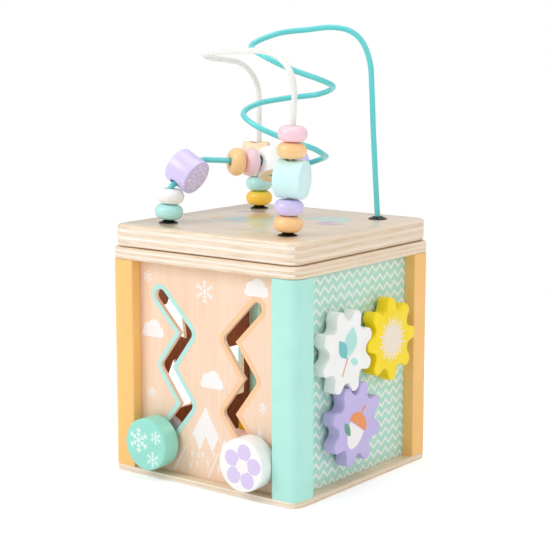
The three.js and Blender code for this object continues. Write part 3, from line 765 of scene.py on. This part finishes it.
def slot_panel():
    tracks = [[Vector((side * x, y)) for x, y in SLOT_TRACK] for side in (-1, 1)]
    slots = [routed(track, SLOT_HALF) for track in tracks]
    mesh = sheet("slot_panel", [panel_outline()] + slots, -PANEL_T, 0, 0.25)
    stand_for("slot_panel", mesh, facing("front", PANEL_OUT))
    for name, track, colour in (("left", tracks[0], "mint"), ("right", tracks[1], "peach")):
        inner = routed(track, SLOT_HALF + BORDER_START)
        border = band("slot_border", inner, routed(track, SLOT_HALF + BORDER))
        matrix = facing("front", PANEL_OUT + PRINT_LIFT * 2)
        piece(f"slot_border_{name}", border, matrix, INKS[colour], "box")


def mountain(apex, half_width, base, cap):
    """A snow cap with a ragged lower edge, and a stroke down each side to the base."""
    top = Vector(apex)
    slope = half_width / (top.y - base)
    left = top - Vector((slope * cap, cap))
    right = top + Vector((slope * cap, -cap))
    ragged = []
    for i in range(1, 6):
        rise = 0.28 * cap if i % 2 else -0.12 * cap
        ragged.append(left.lerp(right, i / 6) + Vector((0, rise)))
    outlines = [softened([top, left] + ragged + [right], 0.25)]
    for side in (-1, 1):
        start = top + Vector((side * slope * (cap + 1.5), -cap - 1.5))
        outlines.append(bar(start, (top.x + side * half_width, base), 0.9))
    return outlines


def slot_panel_prints():
    white = []
    for centre, radius, stroke in (((-51, 134), 4.2, 0.5), ((-2.2, 129), 8.0, 0.7),
                                   ((-48.6, 55.5), 4.0, 0.5), ((45.5, 59), 3.8, 0.5)):
        white.append(snowflake(centre, radius, stroke))
    for centre in ((40, 135), (-47.4, 98.5), (3.2, 70.5)):
        white.append(cloud(centre, 19))
    white += mountain((-2.1, 52.5), 28, PANEL_LOW + 1, 27)
    white += mountain((13.7, 33.7), 14, PANEL_LOW + 1, 9)
    white += mountain((42.5, 46), 18, PANEL_LOW + 1, 9)
    for x, y in ((-14, 19), (-9.5, 13), (-5, 20), (-8.5, 19), (-0.5, 15), (4.5, 21.5), (8.5, 12.5),
                 (-15.5, 11), (13.5, 22), (20, 17), (17, 10)):
        white.append(bar((x, y - 2), (x, y + 2), 1.1))
    prints("slot_panel_print", "slot_panel", "front", PANEL_OUT, [("white", white)])


GEAR_AXLE_R = 2
HOLES = {"star": (-26, 99), "triangle": (-26, 45), "square": (33, 48), "circle": (26, 99)}


def sorter_shapes(star_points, triangle_r, half):
    """The four outlines; the square and the circle are both 2 * half across."""
    return {
        "star": softened(around(10, star_points, math.pi / 2), 1.5),
        "triangle": softened(around(3, [triangle_r], math.pi / 2), 2.5),
        "square": softened(around(4, [half * math.sqrt(2)], math.pi / 4), 2.5),
        "circle": disc((0, 0), half, 64),
    }


def other_panels():
    shapes = sorter_shapes([23, 12], 25, 18.5)
    holes = [shifted(shapes[name], -y, z) for name, (y, z) in HOLES.items()]
    axles = []
    for name in ("white", "yellow", "purple"):
        axis = Vector(JOINT_OF[name + "_gear_body"]["pos_m"]) / MM
        axles.append(disc((axis.y, axis.z), GEAR_AXLE_R + 0.3, 24))
    panels = (("sorter_panel", "left", holes), ("back_panel", "back", []), ("gear_panel", "right", axles))
    for node, side, cuts in panels:
        mesh = sheet(node, [panel_outline()] + cuts, -PANEL_T, 0, 0.25)
        stand_for(node, mesh, facing(side, PANEL_OUT))


# ---- gears -------------------------------------------------------------------------------------

GEAR_TEETH = 8
GEAR_MEAN_R = 24.2
TOOTH_HALF = 3.9
TOOTH_SQUARENESS = 1.5


def gear_turn(node, centre):
    """The angle of a tooth, from the radii of the CAD gear's points."""
    total = complex(0, 0)
    for vertex in frame["nodes"][node].data.vertices:
        y, z = vertex.co.y / MM - centre.y, vertex.co.z / MM - centre.z
        radius = math.hypot(y, z)
        if radius > GEAR_MEAN_R - 2 * TOOTH_HALF:
            angle = math.atan2(z, y)
            swing = GEAR_TEETH * angle
            total += (radius - GEAR_MEAN_R) * complex(math.cos(swing), math.sin(swing))
    return math.atan2(total.imag, total.real) / GEAR_TEETH


def gear_outline(turn, steps=24):
    outline = []
    for i in range(GEAR_TEETH * steps):
        angle = 2 * math.pi * i / (GEAR_TEETH * steps)
        wave = math.tanh(TOOTH_SQUARENESS * math.cos(GEAR_TEETH * angle)) / math.tanh(TOOTH_SQUARENESS)
        radius = GEAR_MEAN_R + TOOTH_HALF * wave
        outline.append(Vector((radius * math.cos(angle + turn), radius * math.sin(angle + turn))))
    return outline


def leaf_print():
    """A sprig of two leaves and a bud."""
    stem = bar((-7, -15), (-1, -3.5), 1.0)
    return [
        ("mint", [leaf((0, -3), (5, 16), 14), leaf((2, -5.5), (11, -9), 5)]),
        ("teal", [leaf((-2, -4), (-10.5, 9), 9)]),
        ("orange", [stem]),
    ]


def sun_print():
    """A plain disc with a ring of rays."""
    rays = []
    for i in range(24):
        angle = 2 * math.pi * i / 24
        reach = 17 if i % 2 else 14.5
        tip = Vector((math.cos(angle), math.sin(angle)))
        side = tip.orthogonal() * 1.25
        rays.append([tip * 11.2 + side, tip * 11.2 - side, tip * reach])
    dots = [disc(point, 0.35, 10) for point in around(36, [9.4], 0)]
    return [("cream", [disc((0, 0), 10.8)] + rays), ("yellow", dots)]


def acorn_print():
    """An acorn with its cup and stalk, and a leaf beside it."""
    tilt = -0.55
    nut = [Vector((9 * p.x, 15.5 * p.y - 1.2)) for p in arc((0, 0), 1, math.pi, math.pi, 20)]
    cup = [Vector((10.8 * p.x, 8.6 * p.y - 0.6)) for p in arc((0, 0), 1, 0, math.pi, 20)]
    stalk = bar((0, 8.2), (1.4, 14), 1.8)
    return [
        ("white", [turned_by(nut, tilt)]),
        ("orange", [turned_by(cup, tilt), turned_by(stalk, tilt)]),
        ("green", [leaf((-8.5, -6), (-15, 4), 5.5)]),
    ]


def gears():
    motifs = {"white": leaf_print(), "yellow": sun_print(), "purple": acorn_print()}
    for name, motif in motifs.items():
        node = name + "_gear"
        centre = Vector(JOINT_OF[BODY_OF[node]]["pos_m"]) / MM
        outline = shifted(gear_outline(gear_turn(node, centre)), centre.y, centre.z)
        mesh = sheet(node, [outline], low(node).x, high(node).x, 1.0)
        across, up, normal = SIDES["right"]
        stand_for(node, mesh, basis(across, up, normal), GEAR_PURPLE if name == "purple" else None)
        prints(node + "_print", node, "right", high(node).x, moved(motif, centre.y, centre.z))
        keep(node + "_screw")
        keep(node + "_washer")


# ---- slot knobs --------------------------------------------------------------------------------

FLOWER_PLACE = (1.4, -0.4)
PEG_PLAY = 0.1


def along_y(node):
    """Local Z along -Y, at a node's middle."""
    centre = middle(node)
    return basis(*SIDES["front"], (centre.x, 0, centre.z))


def knob_prints(name, node, groups):
    centre = middle(node)
    prints(name, node, "front", -low(node).y, moved(groups, centre.x, centre.z))


def knob(node, material):
    """A turned knob with the socket for its peg in its back."""
    radius = (high(node).x - low(node).x) / 2
    back, front = -high(node).y, -low(node).y
    peg = node + "_peg"
    bore = (high(peg).x - low(peg).x) / 2 + PEG_PLAY
    socket = -low(peg).y + PEG_PLAY
    rim = turned_rim([(bore, back), (radius, back), (radius, front), (0, front)], 1.4)
    mesh = lathe(node, [(0, socket), (bore, socket)] + rim, 96)
    stand_for(node, mesh, along_y(node), material)


def knob_peg(node):
    radius = (high(node).x - low(node).x) / 2
    back, front = -high(node).y, -low(node).y
    profile = turned_rim([(0, back), (radius, back), (radius, front), (0, front)], 0.4)
    stand_for(node, lathe(node, profile, 40), along_y(node))


def knob_retainer(node, peg):
    """A cap behind the panel: a hub on the peg, and a thin disc with a rim."""
    outer = (high(node).x - low(node).x) / 2
    bore = (high(peg).x - low(peg).x) / 2 + PEG_PLAY
    hub = bore + 3
    wall = 1.6
    back, front = -high(node).y, -low(node).y
    corners = [(bore, back), (hub, back), (hub, front - wall), (outer - wall, front - wall),
               (outer - wall, back), (outer, back), (outer, front), (bore, front), (bore, back)]
    stand_for(node, lathe(node, turned_rim(corners, 0.4, 3), 72), along_y(node))


def snow_prints():
    flakes = [snowflake((-5.8, 2.2), 8.6, 0.8), snowflake((9.2, 6.2), 4.7, 0.5)]
    flakes.append(snowflake((6.4, -9.2), 5.6, 0.55))
    knob_prints("snow_knob_print", "snow_knob", [("frost", flakes)])


def flower_prints():
    petals = []
    for i in range(5):
        angle = math.radians(8 + 72 * i)
        direction = Vector((math.cos(angle), math.sin(angle)))
        petals.append(shifted(oval(direction * 9.4, 5.5, 5.35, angle), *FLOWER_PLACE))
    eye = disc(FLOWER_PLACE, 4.7)
    knob_prints("flower_knob_print", "flower_knob", [("lavender", petals), ("white", [eye])])


def knobs():
    for node, material in (("snow_knob", KNOB_MINT), ("flower_knob", None)):
        knob(node, material)
        knob_peg(node + "_peg")
        knob_retainer(node + "_retainer", node + "_peg")
    snow_prints()
    flower_prints()


# ---- lid ---------------------------------------------------------------------------------------


def centre_line(node):
    """Middles of the rings of points along a swept CAD wire, from one end to the other."""
    mesh = frame["nodes"][node].data
    ids = {}
    index = [ids.setdefault(tuple(round(c, 6) for c in v.co), len(ids)) for v in mesh.vertices]
    places = [Vector(p) for p in ids]
    beside = {i: set() for i in range(len(places))}
    for face in mesh.polygons:
        corners = {index[i] for i in face.vertices}
        for corner in corners:
            beside[corner] |= corners
    start = min(range(len(places)), key=lambda i: (round(places[i].z, 4), places[i].x))
    ring = {i for i, p in enumerate(places) if (p - places[start]).length < 2.5 * WIRE_R * MM
            and abs(p.z - places[start].z) < 1e-4}
    seen = set(ring)
    middles = []
    while ring:
        middles.append(sum((places[i] for i in ring), Vector()) / len(ring))
        ring = set().union(*(beside[i] for i in ring)) - seen
        seen |= ring
    return middles


def wire(node):
    curve = bpy.data.curves.new(node, "CURVE")
    curve.dimensions = "3D"
    curve.bevel_depth = WIRE_R * MM
    curve.bevel_resolution = 5
    curve.resolution_u = 5
    curve.use_fill_caps = True
    middles = centre_line(node)
    spline = curve.splines.new("BEZIER")
    spline.bezier_points.add(len(middles) - 1)
    for point, place in zip(spline.bezier_points, middles):
        point.co = place
        point.handle_left_type = "AUTO"
        point.handle_right_type = "AUTO"
    stand_for(node, tidy(curve_mesh(node, curve), 60))


def wire_feet():
    for name in ("front", "back", "left", "right"):
        node = name + "_wire_foot"
        radius = (high(node).x - low(node).x) / 2
        height = high(node).z - low(node).z
        bore = WIRE_R + 0.3
        corners = [(bore, 0), (radius, 0), (radius, 0.25 * height), (0.62 * radius, 0.72 * height),
                   (0.5 * radius, height), (bore, height), (bore, 0)]
        centre = middle(node)
        matrix = Matrix.Translation(Vector((centre.x, centre.y, LID_TOP)) * MM)
        stand_for(node, lathe(node, turned_rim(corners, 0.5, 4), 48), matrix)


LID_INKS = {
    "mint": ink("lid_ink_mint", rgb("b4dcd6"), 0.9),
    "lavender": ink("lid_ink_lavender", rgb("b3a6c4"), 0.9),
    "peach": ink("lid_ink_peach", rgb("ecc39c"), 0.9),
    "white": ink("lid_ink_white", rgb("efe9df"), 0.9),
}


def lid_prints():
    """Pale clouds, leaves and dashes on the lid."""
    dashes = ((-34, -30), (-22, -38), (-50, 10), (-34, 24), (-8, -48), (10, -34), (38, -10), (52, 2),
              (16, 54), (-20, 46), (-60, -20), (56, -30))
    groups = [
        ("mint", [cloud((-12, -4), 50), cloud((26, 30), 34), leaf((26, -34), (42, -20), 9)]),
        ("lavender", [leaf((33, 4), (50, 16), 7), leaf((30, 8), (38, 24), 6), leaf((-52, 24), (-38, 36), 7)]),
        ("peach", [disc((-42, -6), 6), leaf((-2, -48), (16, -42), 8)]),
        ("white", [bar((x, y), (x + 5, y + 2.4), 1.2) for x, y in dashes]),
    ]
    prints("lid_print", "lid_plate", "top", LID_TOP, groups, LID_INKS)


# ---- beads and drums ---------------------------------------------------------------------------

BEAD_R = 9.5
BEAD_T = 10.2
BEAD_HOLE_R = 2.9
# A drum's radius is 0.3 mm less than its CAD node's, and its hole's 0.1 mm more, so that at both ends
# of a swing these rounder shapes stay clear of each other.
DRUM_R = 12.2
DRUM_L = 18
DRUM_HOLE_R = 4.7
BEADS = ["front_peach_bead", "front_lavender_bead", "front_amber_bead", "front_pink_bead", "back_yellow_bead",
         "back_mint_bead", "left_mint_bead", "left_white_bead", "run_lavender_bead", "run_pink_bead",
         "run_peach_bead"]


def hole_direction(node):
    """A threaded piece's joint turns or slides it along its hole."""
    return Vector(JOINT_OF[BODY_OF[node]]["axis"]).normalized()


def bead(node):
    land = 4.2
    lip = BEAD_T / 2 - 0.7
    steps = 18
    rim = []
    for k in range(steps + 1):
        angle = -math.pi / 2 + math.pi * k / steps
        rim.append((land + (BEAD_R - land) * max(0.0, math.cos(angle)) ** 0.9, BEAD_T / 2 * math.sin(angle)))
    profile = [(BEAD_HOLE_R, -lip), (BEAD_HOLE_R + 0.35, -lip - 0.5)] + rim
    profile += [(BEAD_HOLE_R + 0.35, lip + 0.5), (BEAD_HOLE_R, lip), (BEAD_HOLE_R, -lip)]
    out = hole_direction(node)
    across = out.orthogonal().normalized()
    stand_for(node, lathe(node, profile, 64), basis(across, out.cross(across), out, middle(node)))


def drum_direction(node):
    """The direction of a CAD drum's own axis: the normal of its two flat ends."""
    areas = {}
    for face in frame["nodes"][node].data.polygons:
        key = tuple(round(c, 2) for c in face.normal)
        areas[key] = areas.get(key, 0.0) + face.area
    return Vector(max(areas, key=areas.get)).normalized()


def drilled(name, mesh, tool_mesh):
    """The mesh with a tool's volume cut out of it."""
    whole = bpy.data.objects.new(name, mesh)
    tool = bpy.data.objects.new(name + "_tool", tool_mesh)
    for holder in (whole, tool):
        bpy.context.scene.collection.objects.link(holder)
    cut = whole.modifiers.new("cut", "BOOLEAN")
    cut.operation = "DIFFERENCE"
    cut.solver = "EXACT"
    cut.object = tool
    depsgraph = bpy.context.evaluated_depsgraph_get()
    result = bpy.data.meshes.new_from_object(whole.evaluated_get(depsgraph))
    bpy.data.objects.remove(whole)
    bpy.data.objects.remove(tool)
    return tidy(result)


def drum(node):
    """A short cylinder about local X with a hole along local Z."""
    half = DRUM_L / 2
    body = lathe(node, turned_rim([(0, -half), (DRUM_R, -half), (DRUM_R, half), (0, half)], 0.9), 128)
    body.transform(Matrix.Rotation(math.pi / 2, 4, "Y"))
    reach = DRUM_R + 2
    tool = lathe(node + "_tool", [(0, -reach), (DRUM_HOLE_R, -reach), (DRUM_HOLE_R, reach), (0, reach)], 48)
    mesh = drilled(node, body, tool)
    out = hole_direction(node)
    along = drum_direction(node)
    if along.dot(Vector((1, -1, 0))) < 0:
        along = -along
    matrix = basis(along, out.cross(along), out, middle(node))
    stand_for(node, mesh, matrix)
    return along


def drum_print(node, along, end, shapes, colour):
    """Ink on a drum's end: end is 1 for the end that along points to, -1 for the other."""
    out = hole_direction(node)
    normal = along * end
    centre = middle(node) + normal * (DRUM_L / 2 + PRINT_LIFT)
    side = "plus" if end > 0 else "minus"
    mesh = printed(node + "_print", shapes)
    matrix = basis(out.cross(normal), out, normal, centre)
    piece(f"{node}_print_{side}", mesh, matrix, INKS[colour], BODY_OF[node])


def drums():
    dots = [disc(p, 0.75, 16) for p in around(6, [3.0], 0.2) + around(11, [6.2], 0.5) + around(8, [8.6], 0)]
    flake = [snowflake((0, 0), 8.0, 0.45)]
    sprig = [leaf((0, -2), (0, 6), 3), leaf((1.2, -3), (6, 1), 2.2), leaf((-1.2, -3), (-6, 1), 2.2)]
    designs = {"mint_drum": (flake, "frost"), "lavender_drum": (dots, "white"),
               "white_drum": (sprig, "green"), "wood_drum": (None, None)}
    for node, (shapes, colour) in designs.items():
        along = drum(node)
        if node == "white_drum":
            drum_ends(node, along)
        if shapes:
            for end in (-1, 1):
                drum_print(node, along, end, shapes, colour)


def drum_ends(node, along):
    """Bare wood shows on the flat ends of a drum that is only painted round its side."""
    for end in (-1, 1):
        normal = along * end
        out = hole_direction(node)
        profile = turned_rim([(0, 0), (DRUM_R - 1.1, 0), (DRUM_R - 1.1, 0.03), (0, 0.03)], 0.01)
        mesh = lathe(node + "_end", profile, 96)
        matrix = basis(out.cross(normal), out, normal, middle(node) + normal * DRUM_L / 2)
        name = f"{node}_end_{'plus' if end > 0 else 'minus'}"
        piece(name, mesh, matrix, MATERIALS["plain_wood"], BODY_OF[node])


# ---- blocks ------------------------------------------------------------------------------------


def blocks():
    """Blocks lie flat, each outline moved until its box is over its node's box."""
    for name, outline in sorter_shapes([21.1, 11], 23, 17.5).items():
        node = name + "_block"
        x_values, y_values = [p.x for p in outline], [p.y for p in outline]
        x = middle(node).x - (min(x_values) + max(x_values)) / 2
        y = middle(node).y - (min(y_values) + max(y_values)) / 2
        stand_for(node, sheet(node, [shifted(outline, x, y)], low(node).z, high(node).z, 1.0))


# ---- stage -------------------------------------------------------------------------------------

SKY = 0.62
KEY = 12
FILL = 4
TOP = 9
INSIDE = 0.08
FLOOR_GLOW = 0.22
CAMERA_SENSOR = 36.0
CAMERA_LENS = 101.53
CAMERA_PLACE = (0.6304, -0.8238, 0.3036)
CAMERA_DOWN = 9.45       # degrees below level
CAMERA_ROUND = 37.33     # degrees round from looking along +Y


def camera_only(tree, seen, lit):
    """A shader output that the camera sees as one shader and every other ray as another."""
    is_camera = add(tree, "LightPath").outputs["Is Camera Ray"]
    return add(tree, "MixShader", {0: is_camera, 1: lit, 2: seen}).outputs[0]


def floor():
    """A pale sheet that fades into the white background."""
    half = 6.0
    corners = [(-half, -half, 0), (half, -half, 0), (half, half, 0), (-half, half, 0)]
    mesh = bpy.data.meshes.new("floor")
    mesh.from_pydata(corners, [], [(0, 1, 2, 3)])
    made = bpy.data.objects.new("floor", mesh)
    material, tree, shader = new_material("floor")
    tint = mixed(tree, noise(tree, 400), rgb("ffffff"), rgb("f7f7f7"))
    tree.links.new(tint, shader.inputs["Base Color"])
    shader.inputs["Roughness"].default_value = 0.9
    glow = add(tree, "Emission", {"Strength": FLOOR_GLOW}).outputs[0]
    lifted = add(tree, "AddShader", {0: shader.outputs[0], 1: glow}).outputs[0]
    white = add(tree, "Emission", {"Strength": 1.0}).outputs[0]
    distance = add(tree, "VectorMath", {0: object_place(tree)}, operation="LENGTH").outputs["Value"]
    far = remap(tree, distance, 0.25, 0.7)
    seen = add(tree, "MixShader", {0: far, 1: lifted, 2: white}).outputs[0]
    surface = camera_only(tree, seen, shader.outputs[0])
    tree.links.new(surface, tree.nodes["Material Output"].inputs["Surface"])
    mesh.materials.append(material)
    bpy.context.scene.collection.objects.link(made)


def softbox(name, place, target, size, power):
    light = bpy.data.lights.new(name, "AREA")
    light.shape = "SQUARE"
    light.size = size
    light.energy = power
    holder = bpy.data.objects.new(name, light)
    holder.location = place
    holder.rotation_mode = "QUATERNION"
    holder.rotation_quaternion = (Vector(target) - Vector(place)).to_track_quat("-Z", "Y")
    bpy.context.scene.collection.objects.link(holder)


def studio():
    world = bpy.data.worlds.new("studio")
    world.use_nodes = True
    tree = world.node_tree
    background = tree.nodes["Background"]
    background.inputs["Color"].default_value = (1, 1, 1, 1)
    background.inputs["Strength"].default_value = SKY
    white = add(tree, "Background", {"Strength": 1.0, "Color": (1, 1, 1, 1)}).outputs[0]
    surface = camera_only(tree, white, background.outputs[0])
    tree.links.new(surface, tree.nodes["World Output"].inputs["Surface"])
    bpy.context.scene.world = world
    target = (0, 0, 0.13)
    softbox("key", (-0.75, -1.25, 1.15), target, 0.9, KEY)
    softbox("fill", (1.5, -0.3, 0.9), target, 0.8, FILL)
    softbox("top", (0.1, 0.2, 1.7), target, 1.2, TOP)
    inside = bpy.data.lights.new("inside", "POINT")
    inside.energy = INSIDE
    inside.shadow_soft_size = 0.02
    holder = bpy.data.objects.new("inside", inside)
    holder.location = (0.02, 0.02, 0.11)
    bpy.context.scene.collection.objects.link(holder)
    bpy.context.scene.view_settings.view_transform = "Standard"


def camera():
    """Long lens from the front right, a little above the lid."""
    data = bpy.data.cameras.new("camera")
    data.sensor_width = CAMERA_SENSOR
    data.lens = CAMERA_LENS
    holder = bpy.data.objects.new("camera", data)
    holder.location = CAMERA_PLACE
    holder.rotation_euler = (math.radians(90 - CAMERA_DOWN), 0, math.radians(CAMERA_ROUND))
    bpy.context.scene.collection.objects.link(holder)
    bpy.context.scene.camera = holder


plates()
posts()
slot_panel()
slot_panel_prints()
other_panels()
gears()
knobs()
for wire_node in ("white_wire", "teal_wire"):
    wire(wire_node)
wire_feet()
lid_prints()
for bead_node in BEADS:
    bead(bead_node)
drums()
blocks()
for screw_node in BASE_SCREWS:
    keep(screw_node)
floor()
studio()
camera()
